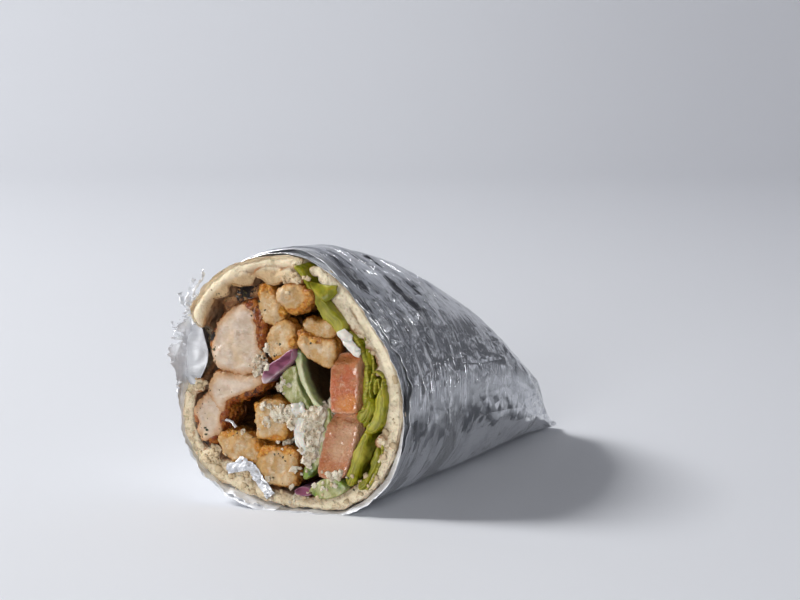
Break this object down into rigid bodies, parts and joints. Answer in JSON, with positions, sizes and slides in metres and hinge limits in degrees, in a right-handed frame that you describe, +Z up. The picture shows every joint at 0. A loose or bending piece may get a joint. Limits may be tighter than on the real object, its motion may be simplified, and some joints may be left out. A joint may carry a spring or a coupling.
{
  "type": "pita sandwich half",
  "caption": "Half of a foil-wrapped pita roll, cut across to show chicken, fried potato, onion, cucumber, tomato, lettuce and crumbled cheese.",
  "frame": {"origin": "middle of the footprint, on the surface that the roll rests on", "axes": "+Y along the roll from the cut face to the folded foil tail, +Z up, +X to the right of the cut face as seen from the front"},
  "size_m": [0.0772, 0.1536, 0.0801],
  "materials": {
    "foil": "bright crumpled kitchen foil",
    "pita": "baked flat bread, matte and porous",
    "chicken": "grilled meat, pale inside with a browned edge",
    "potato": "fried potato, mealy inside with a golden edge",
    "onion": "raw red onion, moist",
    "tomato": "raw tomato, wet",
    "lettuce": "fresh leaf, satin",
    "cucumber": "raw cucumber, moist",
    "feta": "crumbled white cheese, matte"
  },
  "bodies": {
    "root": {"foil_wrap": "foil", "pita_bread": "pita", "chicken_large": "chicken", "chicken_bent": "chicken", "chicken_side": "chicken", "chicken_seared": "chicken", "potato_top": "potato", "potato_crisp": "potato", "potato_crescent": "potato", "potato_small": "potato", "potato_slab": "potato", "potato_middle": "potato", "potato_left": "potato", "potato_bottom": "potato", "onion_slice": "onion", "onion_chip": "onion", "cucumber_wedge": "cucumber", "cucumber_arc": "cucumber", "cucumber_edge": "cucumber", "cucumber_end": "cucumber", "feta_crumble": "feta", "tomato_upper": "tomato", "tomato_lower": "tomato", "lettuce_leaf": "lettuce", "lettuce_ruffle": "lettuce", "lettuce_fold": "lettuce", "lettuce_frill": "lettuce"}
  },
  "joints": []
}
